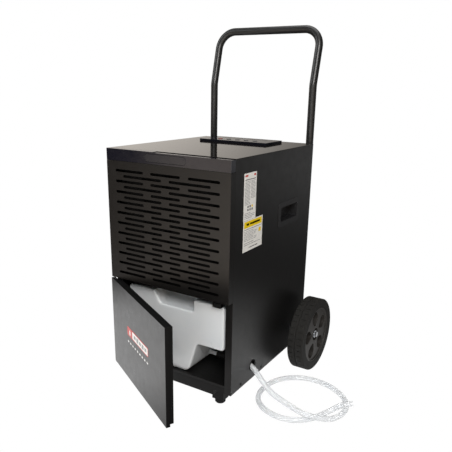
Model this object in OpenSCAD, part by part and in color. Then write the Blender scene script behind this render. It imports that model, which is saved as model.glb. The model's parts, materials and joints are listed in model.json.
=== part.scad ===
// Commercial dehumidifier on two wheels: steel cabinet, louvred front, hinged tank door,
// lift-out tank, bent tube push handle and a clear drain hose.
// Millimetres. +Z up, the front faces -Y, the origin is on the floor under the middle of the whole machine.

/* [Cabinet] */
// Width of the steel cabinet
body_w = 383; // [375:1:420]
// Depth of the cabinet behind the front assembly
body_d = 448; // [440:1:500]
// Height of the cabinet, side panel bottom to top cover
body_h = 620; // [600:1:700]
// Height of the side panels' lower edge above the floor
base_z = 68; // [60:1:80]
// Thickness of the sheet steel
sheet_t = 1.2; // [1:0.1:1.6]
// Depth of the front trim, louvre panel and door in front of the side panels
front_t = 20.5; // [20.5:0.5:24]
// Height of the trim band along the top of the front
trim_h = 31; // [26:1:36]
// Height of the louvre panel's lower edge above the side panels' lower edge
louvre_z = 264; // [262:1:270]

/* [Louvres] */
// Vertical distance between two rows of slots
row_pitch = 14; // [12:0.5:14]
// Height of one slot
slot_h = 7; // [4:0.5:8]
// Length of the slots in the rows of three
slot_short = 92; // [80:1:96]
// Length of the slots in the rows of two
slot_long = 124; // [100:1:126]
// Bridge between two slots of a row
slot_gap = 24; // [16:1:24]

/* [Door] */
// Angle that the door stands open at rest
door_open = 29; // [0:1:60]
// Height of the door's outer skin
door_h = 260; // [250:1:260]
// Thickness of the whole door
door_t = 21; // [16:0.5:21.5]

/* [Wheels] */
// Outer radius of the tyres
tyre_r = 112.5; // [105:0.5:118]
// Width of the tyres
tyre_w = 49; // [42:1:55]
// Gap between a side panel and its tyre
wheel_gap = 28; // [20:1:40]
// Distance from the cabinet's middle back to the axle
axle_back = 164; // [150:0.5:170]
// Radius of the axle
axle_r = 8; // [6:0.5:9]

/* [Handle] */
// Radius of the handle's tube
tube_r = 11.1; // [8:0.1:12]
// Distance of each leg from the middle
leg_x = 171.5; // [150:0.5:172]
// Height of the knee above the side panels' lower edge
knee_z = 786; // [740:1:820]
// Angle that the upper part leans back
lean = 13.6; // [5:0.1:20]
// Length of the leaning part along its slope
lean_len = 162; // [140:1:180]
// Centre line radius of the two upper corners
corner_r = 52; // [40:1:70]

/* [Tank] */
// Width of the water tank
tank_w = 320; // [280:1:330]
// Depth of the water tank
tank_d = 158; // [120:1:158]
// Height of the water tank's top above the side panels' lower edge
tank_top = 239; // [220:1:242]
// Wall of the water tank
tank_wall = 3; // [2:0.5:4]

/* [Hose] */
// Outer diameter of the drain hose
hose_d = 15; // [12:0.5:15]

/* [Hidden] */
$fn = 48;

// Clearances
fit = 0.05;
gap = 0.4;
eps = 0.01;

// Places that several pieces share
half_w = body_w / 2;
hinge_x = -half_w + 4.5;
hinge_in = 5.5;
door_out = 2;
door_w = body_w - 5.5;
tip_y = -(door_w - hinge_x - half_w) * sin(door_open) - (hinge_in + door_out) * cos(door_open);
handle_back = 17;
bar_y = handle_back + lean_len * sin(lean) + tube_r;
mid_y = -(tip_y + hinge_in - front_t + bar_y) / 2;
side_y = mid_y - body_d / 2;
face_y = side_y - front_t;
back_y = mid_y + body_d / 2;
hinge_y = face_y + hinge_in;
trim_z = base_z + body_h - trim_h;
top_z = base_z + body_h;
axle_y = mid_y + axle_back;
hub_x = half_w + wheel_gap;

// Colours
steel_black = [0.09, 0.09, 0.09];
gloss_black = [0.05, 0.05, 0.06];
plastic_black = [0.07, 0.07, 0.07];
tyre_black = [0.12, 0.11, 0.10];
zinc = [0.75, 0.76, 0.78];
tank_white = [0.85, 0.86, 0.85];

// ---------- shared shapes ----------

// Rectangle with round corners, centred
module round_rect(w, h, r) {
    square([w - 2 * r, h], center = true);
    square([w, h - 2 * r], center = true);
    for (x = [-1, 1], y = [-1, 1])
        translate([x * (w / 2 - r), y * (h / 2 - r)]) circle(r);
}

// Outline through corners [x, y, radius], counter-clockwise, moved inwards by inset
function rounded_outline(corners, inset) = [for (i = [0:len(corners) - 1]) each
    let (c = corners[i], p = [c[0], c[1]], n = len(corners),
        a = corners[(i + n - 1) % n], b = corners[(i + 1) % n],
        d1 = unit(p - [a[0], a[1]]), d2 = unit([b[0], b[1]] - p), turn = atan2(cross(d1, d2), d1 * d2),
        n1 = [-d1[1], d1[0]], n2 = [-d2[1], d2[0]], side = sign(turn), steps = 8,
        centre = p + side * c[2] * (n1 + n2) / (1 + n1 * n2), start = atan2(n1[1], n1[0]))
    [for (k = [0:steps]) let (angle = start + turn * k / steps)
        centre - (side * c[2] - inset) * [cos(angle), sin(angle)]]];

// Upright plate facing -Y: x and z centred on the origin, front face at y = 0
module front_plate(t) {
    translate([0, t, 0]) rotate([90, 0, 0]) linear_extrude(t) children();
}

// Upright plate facing +X: outer face at x = 0, its thickness towards -X
module side_plate(t) {
    translate([-t, 0, 0]) rotate([90, 0, 90]) linear_extrude(t) children();
}

// Hexagon bolt head along +Z
module hex_head(across, h) {
    cylinder(r = across / sqrt(3), h = h, $fn = 6);
}

// Vector v at length 1
function unit(v) = v / norm(v);

// Points of one ring of a swept tube: centre p, unit direction d
function ring(p, d, r, n) =
    let (a = unit(cross(d, [0.1, 0.2, 1])), b = cross(d, a))
    [for (i = [0:n - 1]) p + r * (cos(360 * i / n) * a + sin(360 * i / n) * b)];

// Direction of a line of points at point i
function heading(pts, i) = unit(pts[min(i + 1, len(pts) - 1)] - pts[max(i - 1, 0)]);

// Point i of pts, or the nearest one there is
function at(pts, i) = pts[max(0, min(i, len(pts) - 1))];

// Point on a Catmull-Rom curve through pts, between point i and point i + 1
function curve_point(pts, i, t) =
    0.5 * (2 * at(pts, i) + (at(pts, i + 1) - at(pts, i - 1)) * t
        + (2 * at(pts, i - 1) - 5 * at(pts, i) + 4 * at(pts, i + 1) - at(pts, i + 2)) * t * t
        + (3 * at(pts, i) - at(pts, i - 1) - 3 * at(pts, i + 1) + at(pts, i + 2)) * t * t * t);

// The curve through pts as a finer line, steps pieces to each span
function smooth(pts, steps) = concat(
    [for (i = [0:len(pts) - 2], k = [0:steps - 1]) curve_point(pts, i, k / steps)], [pts[len(pts) - 1]]);

// Tube of radius r with n sides along pts, one ring at each point
module swept_tube(pts, r, n) {
    m = len(pts);
    points = [for (i = [0:m - 1]) each ring(pts[i], heading(pts, i), r, n)];
    walls = [for (i = [0:m - 2], j = [0:n - 1])
        [i * n + j, i * n + (j + 1) % n, (i + 1) * n + (j + 1) % n, (i + 1) * n + j]];
    ends = [[for (j = [n - 1:-1:0]) j], [for (j = [0:n - 1]) (m - 1) * n + j]];
    polyhedron(points, concat(walls, ends), convexity = 10);
}

// ---------- cabinet ----------

pan_z = base_z - 15;
pan_h = 14;
pan_t = 1.5;
well_w = 272;

// Pressed steel pan that carries everything: upturned walls and a deeper well along its middle
module base_chassis() {
    w = body_w - 6;
    d = body_d - 6;
    color(steel_black) translate([0, side_y + 2, 0]) difference() {
        union() {
            translate([-w / 2, 0, base_z]) cube([w, d, pan_h]);
            translate([-well_w / 2, 0, pan_z]) cube([well_w, d, base_z - pan_z + 1]);
        }
        translate([pan_t - w / 2, pan_t, base_z + pan_t]) cube([w - 2 * pan_t, d - 2 * pan_t, pan_h]);
        translate([pan_t - well_w / 2, pan_t, pan_z + pan_t]) cube([well_w - 2 * pan_t, d - 2 * pan_t, 20]);
        for (x = [-1, 1])
            translate([compressor_x + x * compressor_feet, compressor_y - side_y - 2, pan_z - 1])
                cylinder(r = 3, h = 6);
    }
}

tray_z = base_z + pan_h + 0.2;
tray_d = 176;
tray_floor = 5.3;

// Shelf that the tank stands on, with a low rim and two runners
module tank_tray() {
    color(plastic_black) {
        difference() {
            translate([-half_w + 3, side_y + 2, tray_z]) cube([body_w - 6, tray_d, 8]);
            translate([-half_w + 7, side_y + 10, tray_z + tray_floor]) cube([body_w - 14, tray_d - 12, 8]);
        }
        for (x = [-120, 20]) translate([x, side_y + 14, tray_z + tray_floor]) cube([6, tray_d - 24, 1.5]);
    }
}

grip_y = mid_y + 77;
grip_z = base_z + 441;
grip_w = 110;
grip_h = 45;
grip_rim = 13;
hole_y = mid_y - 110;
hole_z = base_z + 40.5;
hole_r = 15.5;

// Folded side panel on +X: sheet with a front and a rear flange, a grip cut-out and an axle hole
module side_sheet() {
    h = body_h - sheet_t - 0.2;
    difference() {
        union() {
            translate([half_w - sheet_t, side_y, base_z]) cube([sheet_t, body_d, h]);
            translate([half_w - 20, side_y, base_z]) cube([20, sheet_t, h]);
            translate([half_w - 14, back_y - sheet_t, base_z]) cube([14, sheet_t, h]);
        }
        translate([half_w + 1, grip_y, grip_z]) side_plate(5) round_rect(grip_w, grip_h, 5);
        translate([half_w - 5, axle_y, base_z + axle_up]) rotate([0, 90, 0])
            cylinder(r = axle_r + 0.3, h = 10);
    }
}

module left_side_panel() {
    color(steel_black) mirror([1, 0, 0]) side_sheet();
}

module right_side_panel() {
    color(steel_black) difference() {
        side_sheet();
        translate([half_w - 5, hole_y, hole_z]) rotate([0, 90, 0]) cylinder(r = hole_r, h = 10);
    }
}

// Flat lid with a folded rim that drops inside the side panels
module top_cover() {
    rim = 12;
    color(gloss_black) difference() {
        union() {
            translate([-half_w, side_y, top_z - sheet_t]) cube([body_w, body_d, sheet_t]);
            translate([-half_w + sheet_t + gap, side_y + sheet_t + gap, top_z - rim])
                cube([body_w - 2 * (sheet_t + gap), body_d - 2 * (sheet_t + gap) - 2, rim - 1]);
        }
        translate([-half_w + 2 * sheet_t + gap, side_y + 2 * sheet_t + gap, top_z - rim - 1])
            cube([body_w - 4 * sheet_t - 2 * gap, body_d - 4 * sheet_t - 2 * gap - 2, rim + 1 - sheet_t]);
        for (i = [0:4]) translate([button_x(i), button_y, top_z - 5]) cylinder(r = 4, h = 10);
    }
}

exhaust_z = base_z + 425;
exhaust_r = 122;

// Back sheet between the side panels' flanges, with a round exhaust opening
module rear_panel() {
    t = sheet_t;
    color(steel_black) difference() {
        translate([-half_w + 3, back_y - 2 * t - 0.1, base_z + 2]) cube([body_w - 6, t, body_h - 18]);
        translate([0, back_y + 5, exhaust_z]) rotate([90, 0, 0]) cylinder(r = exhaust_r, h = 20);
        translate([120, back_y + 5, base_z + 110]) rotate([90, 0, 0]) cylinder(r = 8, h = 20);
    }
}

// Guard over the exhaust: flat rings on crossed bars
module exhaust_guard() {
    bar = 3;
    rings = 7;
    step = (exhaust_r + 4) / rings;
    color(steel_black) translate([0, back_y + 4.2, exhaust_z]) rotate([90, 0, 0]) {
        for (i = [1:rings]) difference() {
            cylinder(r = i * step + bar / 2, h = 2.4, $fn = 96);
            translate([0, 0, -1]) cylinder(r = i * step - bar / 2, h = 5, $fn = 96);
        }
        for (a = [0, 90]) rotate([0, 0, a]) translate([-exhaust_r - 4, -bar / 2, 1.2])
            cube([2 * exhaust_r + 8, bar, 2.7]);
    }
}

// ---------- front ----------

window_w = 126;
window_h = 20;
step_x = -38;
step_h = 1.5;

// Glossy band along the top of the front, with a shallow recess for the display window.
// Right of a small notch its upper face lies a step below the top cover.
module front_trim() {
    z = trim_z + 0.5;
    h = trim_h - 0.5;
    color(gloss_black) difference() {
        translate([-half_w, face_y, z]) cube([body_w, front_t - gap, h]);
        translate([-half_w + 3, face_y + 3, z - 1]) cube([body_w - 6, front_t, h - 3]);
        translate([step_x, face_y - 1, top_z - step_h]) cube([body_w, front_t + 2, step_h + 1]);
        translate([0, face_y - 1, z + h / 2]) front_plate(2.5) round_rect(window_w, window_h, 8);
        translate([0, face_y, z + h / 2]) cube([window_w - 30, 20, 8], center = true);
        translate([step_x - 3, side_y - 3, top_z - 3]) cube([6, 5, 5]);
    }
}

module display_window() {
    color([0.10, 0.10, 0.13]) translate([0, face_y + 0.3, trim_z + 0.5 + (trim_h - 0.5) / 2])
        front_plate(1.1) round_rect(window_w - 1, window_h - 1, 7.5);
}

louvre_h = body_h - trim_h - louvre_z;
first_row = base_z + 564.5;

module slot(length) {
    square([length - slot_h, slot_h], center = true);
    for (x = [-1, 1]) translate([x * (length - slot_h) / 2, 0]) circle(slot_h / 2, $fn = 24);
}

// Slots of row i, counted from the top: three short ones, then two long ones
module slot_row(i) {
    z = first_row - i * row_pitch;
    if (i % 2 == 0)
        for (k = [-1:1]) translate([k * (slot_short + slot_gap), z]) slot(slot_short);
    else
        for (k = [-0.5, 0.5]) translate([k * (slot_long + slot_gap), z]) slot(slot_long);
}

// Folded front sheet with 21 staggered rows of air slots
module louvre_panel() {
    z = base_z + louvre_z;
    t = sheet_t;
    color(steel_black) difference() {
        translate([-half_w, face_y, z]) cube([body_w, front_t - gap, louvre_h]);
        translate([-half_w + t, face_y + t, z + t]) cube([body_w - 2 * t, front_t, louvre_h - 2 * t]);
        translate([0, face_y - 1, 0]) front_plate(t + 2) for (i = [0:20]) slot_row(i);
        translate([hinge_x, hinge_y, z - 1]) cylinder(r = pin_r + fit, h = t + 2, $fn = 32);
    }
}

// Slide-in filter: frame with cross bars, and the thin filter cloth
module air_filter() {
    w = 336;
    h = 296;
    z = base_z + louvre_z + 6;
    color(plastic_black) translate([0, side_y - 6, z + h / 2]) {
        front_plate(5) difference() {
            round_rect(w, h, 4);
            for (x = [-1.5:1.5], y = [-1:1])
                translate([x * w / 4, y * h / 3]) square([w / 4 - 6, h / 3 - 6], center = true);
        }
        translate([0, 2, 0]) front_plate(0.8) square([w - 4, h - 4], center = true);
    }
}

// ---------- inside ----------

bay_back = side_y + tray_d + 4;
deck_z = base_z + 253;

// Upright sheet behind the tank bay
module bay_partition() {
    color(steel_black) translate([-half_w + 5, bay_back, base_z + pan_t + 0.1])
        cube([body_w - 10, sheet_t, deck_z - base_z - pan_t - 0.3]);
}

spout_x = -60;
spout_y = side_y + 95;

// Horizontal sheet between the tank bay and the coils
module deck_plate() {
    color(steel_black) difference() {
        translate([-half_w + 3, side_y + 2, deck_z]) cube([body_w - 6, body_d - 6, sheet_t]);
        translate([spout_x, spout_y, deck_z - 1]) cylinder(r = 12, h = 4);
        for (y = [pipe_y, compressor_y - 26]) translate([pipe_x, y, deck_z - 1]) cylinder(r = 8, h = 4);
    }
}

drip_z = deck_z + sheet_t + 0.3;
coil_w = 280;
coil_h = 270;
evap_y = side_y + 31;
cond_y = side_y + 66;

// Tray under both coils, with a spout over the tank's mouth
module drip_tray() {
    color(plastic_black) difference() {
        union() {
            translate([-160, side_y + 12, drip_z]) cube([320, 96, 18]);
            translate([spout_x, spout_y, drip_z - 9]) cylinder(r = 9, h = 11);
        }
        translate([-157, side_y + 15, drip_z + 3]) cube([314, 90, 20]);
        translate([spout_x, spout_y, drip_z - 20]) cylinder(r = 6.5, h = 30);
    }
}

// Comb outline of a coil seen from above: a core with fins on both sides
function fin_outline(w, d, core, fin, pitch) =
    let (n = floor(w / pitch))
    concat(
        [for (i = [0:n - 1]) each [
            [i * pitch, -core / 2], [i * pitch, -d / 2],
            [i * pitch + fin, -d / 2], [i * pitch + fin, -core / 2]]],
        [for (i = [n - 1:-1:0]) each [
            [i * pitch + fin, core / 2], [i * pitch + fin, d / 2],
            [i * pitch, d / 2], [i * pitch, core / 2]]]);

// Half ring of tube that joins two passes of a coil
module return_bend() {
    rotate_extrude(angle = 180) translate([10, 0]) circle(4, $fn = 24);
}

// Finned coil with end plates and the return bends of its tubes
module coil(depth) {
    pitch = 7;
    z = drip_z + 6;
    linear_extrude(coil_h) translate([-coil_w / 2, 0]) polygon(fin_outline(coil_w, depth, 10, 1.4, pitch));
    for (x = [-coil_w / 2 - 2, coil_w / 2 - 5.5]) translate([x, -depth / 2, 0]) cube([2.5, depth, coil_h]);
    for (i = [0:6]) {
        translate([-coil_w / 2 - 1, 0, 26 + i * 34]) rotate([90, 0, 0]) rotate([0, 0, 90]) return_bend();
        translate([coil_w / 2 - 4, 0, 26 + i * 34]) rotate([90, 0, 0]) rotate([0, 0, -90]) return_bend();
    }
}

module evaporator() {
    color([0.78, 0.79, 0.80]) translate([0, evap_y, drip_z + 6]) coil(30);
}

module condenser() {
    color([0.70, 0.62, 0.52]) translate([0, cond_y, drip_z + 6]) coil(34);
}

compressor_x = -45;
compressor_y = mid_y + 62;
compressor_r = 58;
compressor_feet = 74;
pipe_x = 172;
pipe_y = side_y + 196;

// Straight runs of pipe through pts, with a soldered elbow at each turn
module pipe_run(pts, r) {
    for (i = [0:len(pts) - 2]) {
        d = pts[i + 1] - pts[i];
        translate(pts[i]) rotate([0, acos(d[2] / norm(d)), atan2(d[1], d[0])]) cylinder(r = r, h = norm(d));
    }
    for (i = [1:len(pts) - 2]) translate(pts[i]) sphere(r + 0.6);
}

// Suction and discharge pipes: from the compressor, up beside the fan and into the coils' ends
module copper_pipes() {
    shell_x = compressor_x + compressor_r + 0.5;
    coil_x = coil_w / 2 - 3;
    evap_in = evap_y + 10;
    cond_in = cond_y + 10;
    discharge_y = compressor_y - 26;
    suction_z = pan_z + 150;
    discharge_z = pan_z + 100;
    color([0.72, 0.43, 0.27]) {
        pipe_run([[shell_x, compressor_y, suction_z], [pipe_x, compressor_y, suction_z],
            [pipe_x, compressor_y, deck_z - 30], [pipe_x, pipe_y, deck_z - 30],
            [pipe_x, pipe_y, deck_z + 66], [pipe_x, evap_in, deck_z + 66],
            [coil_x, evap_in, deck_z + 66]], 4.5);
        pipe_run([[shell_x - 6, discharge_y, discharge_z], [pipe_x - 14, discharge_y, discharge_z],
            [pipe_x - 14, discharge_y, deck_z - 16], [pipe_x, discharge_y, deck_z - 16],
            [pipe_x, discharge_y, deck_z + 120], [pipe_x, cond_in, deck_z + 120],
            [coil_x, cond_in, deck_z + 120]], 3.5);
    }
}

// Hermetic compressor shell on a foot plate, with its terminal cover
module compressor() {
    z = pan_z + pan_t + 14;
    color([0.13, 0.13, 0.14]) {
        translate([compressor_x, compressor_y, z]) rotate_extrude() polygon([
            [0, 0], [40, 0], [52, 8], [compressor_r, 24],
            [compressor_r, 142], [50, 166], [36, 178], [0, 184]]);
        difference() {
            translate([compressor_x - 84, compressor_y - 20, z - 4]) cube([168, 40, 4 + eps]);
            for (x = [-1, 1]) translate([compressor_x + x * compressor_feet, compressor_y, z - 5])
                cylinder(r = 6, h = 8);
        }
        translate([compressor_x - 20, compressor_y - compressor_r - 16, z + 70]) cube([40, 20, 46]);
    }
}

// Rubber mounts under the compressor's foot plate
module compressor_mounts() {
    z = pan_z + pan_t + 0.1;
    color(tyre_black) for (x = [-1, 1]) translate([compressor_x + x * compressor_feet, compressor_y, z]) {
        cylinder(r = 12, h = 9.7);
        cylinder(r = 5.8, h = 17);
    }
}

fan_y = side_y + 128;
fan_r = 116;

// Plate with a round inlet ring in front of the fan
module fan_shroud() {
    color(plastic_black) translate([0, fan_y - 20, exhaust_z]) {
        front_plate(2) difference() {
            square([320, 300], center = true);
            circle(fan_r + 5, $fn = 96);
        }
        translate([0, 28, 0]) rotate([90, 0, 0]) difference() {
            cylinder(r = fan_r + 8, h = 28, $fn = 96);
            translate([0, 0, -1]) cylinder(r = fan_r + 5, h = 30, $fn = 96);
        }
    }
}

motor_y = fan_y + 36;

// Four-armed bracket that holds the motor behind the shroud
module motor_bracket() {
    arm = 146;
    post_d = motor_y + 14 - fan_y + 18;
    color(steel_black) translate([0, motor_y + 14, exhaust_z]) rotate([90, 0, 0]) {
        linear_extrude(3) difference() {
            union() {
                circle(56);
                for (a = [45:90:315]) rotate(a) translate([40, -8]) square([arm - 40, 16]);
            }
            circle(45.5);
        }
        for (a = [45:90:315]) rotate([0, 0, a]) translate([arm - 3, -8, 2]) cube([3, 16, post_d - 2.1]);
    }
}

// Fan motor: finned round body with a bearing nose
module fan_motor() {
    color([0.30, 0.31, 0.32]) translate([0, motor_y, exhaust_z]) rotate([-90, 0, 0]) difference() {
        union() {
            cylinder(r = 45, h = 62);
            translate([0, 0, -12]) cylinder(r = 14, h = 14);
            for (z = [22:8:54]) translate([0, 0, z]) cylinder(r = 48, h = 3);
        }
        translate([0, 0, -13]) cylinder(r = 4 + fit, h = 60, $fn = 32);
    }
}

// Axial fan: hub, shaft and five pitched blades
module fan_rotor() {
    color([0.16, 0.16, 0.17]) translate([0, fan_y, exhaust_z]) rotate([-90, 0, 0]) {
        cylinder(r = 26, h = 20);
        translate([0, 0, 10]) cylinder(r = 4, h = 54, $fn = 32);
        for (i = [0:4]) rotate([0, 0, i * 72]) translate([20, 0, 10]) rotate([38, 0, 0])
            translate([0, -24, -1.5]) cube([fan_r - 24, 48, 3]);
    }
}

// Electrical box under the top cover, with its lid lip
module control_box() {
    color([0.55, 0.56, 0.56]) translate([-40, back_y - 130, top_z - 66]) difference() {
        cube([180, 100, 50]);
        translate([2, 2, 2]) cube([176, 96, 50]);
    }
}

// Control board with its relays, terminal block and transformer, on the floor of the box
module circuit_board() {
    floor_z = top_z - 64 + 0.2;
    translate([-32, back_y - 122, floor_z]) {
        color([0.10, 0.35, 0.18]) cube([164, 84, 1.6]);
        color([0.12, 0.12, 0.13]) {
            for (i = [0:3]) translate([10 + i * 24, 8, 1.6]) cube([18, 15, 15]);
            translate([112, 50, 1.6]) cube([40, 28, 26]);
            translate([12, 66, 1.6]) cube([80, 10, 11]);
        }
        color([0.75, 0.76, 0.78]) for (i = [0:2]) translate([30 + i * 26, 44, 1.6]) cylinder(r = 6, h = 16);
    }
}

module run_capacitor() {
    color([0.80, 0.80, 0.78]) translate([-60, back_y - 80, top_z - 70]) {
        cylinder(r = 16, h = 50);
        for (x = [-5, 5]) translate([x, 0, 50 - eps]) cylinder(r = 2, h = 6);
    }
}

// ---------- controls ----------

plate_w = 228;
plate_d = 105;
plate_h = 6.3;
plate_x = -9;
plate_y = mid_y + 137.5;
button_y = plate_y - 18;
button_r = 7;
function button_x(i) = plate_x - 60 + i * 30;

// Raised control plate with five button holes and a lamp slot
module control_plate() {
    color(gloss_black) translate([plate_x, plate_y, top_z]) difference() {
        linear_extrude(plate_h) round_rect(plate_w, plate_d, 4);
        translate([0, 0, -1]) linear_extrude(plate_h - 2.8 + 1) round_rect(plate_w - 5, plate_d - 5, 3);
        for (i = [0:4]) translate([button_x(i) - plate_x, button_y - plate_y, 0])
            cylinder(r = button_r + gap, h = 10, $fn = 32);
        translate([0, 26, plate_h - 0.8]) linear_extrude(2) round_rect(150, 22, 4);
    }
}

// Push button i with its retaining flange
module push_button(i) {
    translate([button_x(i), button_y, top_z]) {
        translate([0, 0, 2.2]) cylinder(r = button_r, h = plate_h - 1.2, $fn = 32);
        translate([0, 0, 2.2]) cylinder(r = button_r + 1.6, h = 0.9, $fn = 32);
        translate([0, 0, -3]) cylinder(r = 2, h = 5.2 + eps, $fn = 24);
    }
}

module power_button() {
    color([0.55, 0.08, 0.07]) push_button(0);
}

module mode_button() {
    color([0.30, 0.30, 0.31]) push_button(1);
}

module up_button() {
    color([0.30, 0.30, 0.31]) push_button(2);
}

module down_button() {
    color([0.30, 0.30, 0.31]) push_button(3);
}

module timer_button() {
    color([0.30, 0.30, 0.31]) push_button(4);
}

// ---------- door ----------

pin_r = 2;
door_z = base_z;
door_y = face_y - door_out;
skin_t = 1.5;

// Puts a piece drawn on the closed door where the open door holds it
module on_door() {
    translate([hinge_x, hinge_y, 0]) rotate(-door_open) translate([-hinge_x, -hinge_y, 0]) children();
}

// Outer skin with shallow folded edges
module door_skin() {
    fold = 10.5;
    color([0.16, 0.16, 0.16]) on_door() difference() {
        translate([-half_w, door_y, door_z]) cube([door_w, fold, door_h]);
        translate([-half_w + skin_t, door_y + skin_t, door_z + skin_t])
            cube([door_w - 2 * skin_t, fold, door_h - 2 * skin_t]);
        for (z = [door_z - 1, door_z + door_h - skin_t - 1])
            translate([hinge_x, hinge_y, z]) cylinder(r = pin_r, h = skin_t + 2, $fn = 32);
    }
}

pocket = [half_w - 62, door_y + door_t - 1.2, base_z + 237.5];
pocket_w = 29;
pocket_h = 18;

// Inner box of the door, a little smaller than the skin, with a pocket for the strike plate
module door_liner() {
    x0 = -half_w + 12;
    color(plastic_black) on_door() difference() {
        translate([x0, door_y + skin_t + 0.1, door_z + 5])
            cube([door_w - 15, door_t - skin_t - 0.1, door_h - 7]);
        translate([x0 + 2, door_y - 1, door_z + 7]) cube([door_w - 19, door_t - 1, door_h - 11]);
        translate(pocket) cube([pocket_w, 3, pocket_h]);
    }
}

// Spring hinge pins at the top and the bottom of the door
module hinge_pins() {
    color(zinc) on_door() for (z = [door_z - 6, door_z + door_h - 12])
        translate([hinge_x, hinge_y, z]) cylinder(r = pin_r, h = 18, $fn = 32);
}

// Foot of the hinge: a tab under the chassis with the lower pin's hole, and its spacer
module hinge_bracket() {
    color(steel_black) difference() {
        union() {
            translate([-half_w, hinge_y - 5, base_z - 3.6]) cube([22, side_y + 25 - hinge_y, 2.4]);
            translate([-half_w + 4, side_y + 4, base_z - 1.3]) cube([18, 16, 1.2]);
        }
        translate([hinge_x, hinge_y, base_z - 5]) cylinder(r = pin_r + fit, h = 8, $fn = 32);
    }
}

// Magnet catch under the deck, behind the door's free edge
module magnet_catch() {
    color(plastic_black) translate([half_w - 60, side_y - 1.1, base_z + 240]) cube([25, 12, 12.9]);
}

strike_play = 0.4;

module strike_plate() {
    color(zinc) on_door() translate(pocket + [strike_play, 0.1, strike_play])
        cube([pocket_w - 2 * strike_play, 1.1, pocket_h - 2 * strike_play]);
}

// ---------- tank ----------

tank_y = side_y + 12.5;
tank_foot = tray_z + tray_floor + 1.5;
shoulder_z = base_z + 113;
mouth_r = 30;
spigot_x = 92;
spigot_y = mid_y - 112;
spigot_z = base_z + 43;

// Front outline of the tank, drawn inset by a wall: full width above, a narrower foot below
module tank_outline(inset) {
    polygon(rounded_outline([
        [-tank_w / 2, tank_foot, 14], [46, tank_foot, 25], [73, shoulder_z, 15], [tank_w / 2, shoulder_z, 10],
        [tank_w / 2, tank_top + base_z, 8], [-tank_w / 2, tank_top + base_z, 8]], inset));
}

// Finger recess in the tank's upper front edge, its left end sloping outwards
module finger_recess(inset) {
    left = -47.5 - inset;
    right = 62 + inset;
    deep = 34 + inset;
    slope = 35;
    translate([0, tank_y - 1, tank_top + base_z]) difference() {
        translate([left - 35, 0, 0]) rotate([0, 90, 0]) linear_extrude(right - left + 35) polygon([
            [-1, 0], [deep, 0], [deep, 12 + inset], [14 + inset, 46 + inset], [-1, 46 + inset]]);
        translate([left, -5, -deep]) rotate([0, -slope, 0]) translate([-70, 0, -60]) cube([70, 70, 140]);
    }
}

// Hollow blow-moulded tank with a round mouth and a side spigot
module water_tank() {
    top = tank_top + base_z;
    color(tank_white) difference() {
        union() {
            difference() {
                translate([0, tank_y + tank_d, 0]) rotate([90, 0, 0]) linear_extrude(tank_d) tank_outline(0);
                finger_recess(0);
            }
            translate([spout_x, spout_y, top - 2]) cylinder(r = mouth_r + 3, h = 6);
            translate([48, spigot_y, spigot_z]) rotate([0, 90, 0]) cylinder(r = 7, h = spigot_x - 48);
        }
        difference() {
            translate([0, tank_y + tank_d - tank_wall, 0]) rotate([90, 0, 0])
                linear_extrude(tank_d - 2 * tank_wall) tank_outline(tank_wall);
            finger_recess(tank_wall);
        }
        translate([spout_x, spout_y, top - 20]) cylinder(r = mouth_r, h = 40);
        translate([40, spigot_y, spigot_z]) rotate([0, 90, 0]) cylinder(r = 4.5, h = 70);
        translate([float_x, float_y, top - 10]) cylinder(r = 5 + fit, h = 20);
    }
}

float_x = 108;
float_y = tank_y + 110;
stem_r = 3;

// Level switch stem that hangs through the tank's roof
module float_stem() {
    top = tank_top + base_z;
    color(plastic_black) translate([float_x, float_y, 0]) {
        translate([0, 0, top + 0.1]) hex_head(14, 5);
        translate([0, 0, top - 6]) cylinder(r = 5, h = 6.2);
        translate([0, 0, top - 84]) cylinder(r = stem_r, h = 80);
        translate([0, 0, top - 84]) cylinder(r = 6, h = 3);
    }
}

// Ring float that rides up the stem
module tank_float() {
    color([0.92, 0.92, 0.90]) translate([float_x, float_y, tank_top + base_z - 80]) difference() {
        cylinder(r = 14, h = 24);
        translate([0, 0, -1]) cylinder(r = stem_r + 0.3, h = 30, $fn = 32);
    }
}

// ---------- drain ----------

coupling_end = 166;

// Black coupling between the tank's spigot and the hose: socket, body, collar and barb
module drain_coupling() {
    x = 80;
    color(plastic_black) translate([0, spigot_y, spigot_z]) rotate([0, 90, 0]) difference() {
        union() {
            translate([0, 0, x]) cylinder(r = 11, h = 26);
            translate([0, 0, x + 26]) cylinder(r = 8, h = 46);
            translate([0, 0, x + 48]) cylinder(r = 10, h = 10);
            translate([0, 0, x + 72]) cylinder(r = 6.5, h = coupling_end - x - 72);
        }
        translate([0, 0, x - 1]) cylinder(r = 7, h = spigot_x - x + 1);
    }
}

// Rubber ring that lines the hose hole
module hose_grommet() {
    color(tyre_black) translate([half_w, hole_y, hole_z]) rotate([0, 90, 0]) difference() {
        union() {
            translate([0, 0, 0.05]) cylinder(r = hole_r + 1.2, h = 1);
            translate([0, 0, -3]) cylinder(r = hole_r, h = 3.5);
            translate([0, 0, -3.2]) cylinder(r = hole_r + 1.2, h = 1.9);
        }
        translate([0, 0, -5]) cylinder(r = hole_r - 1, h = 10);
    }
}

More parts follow.
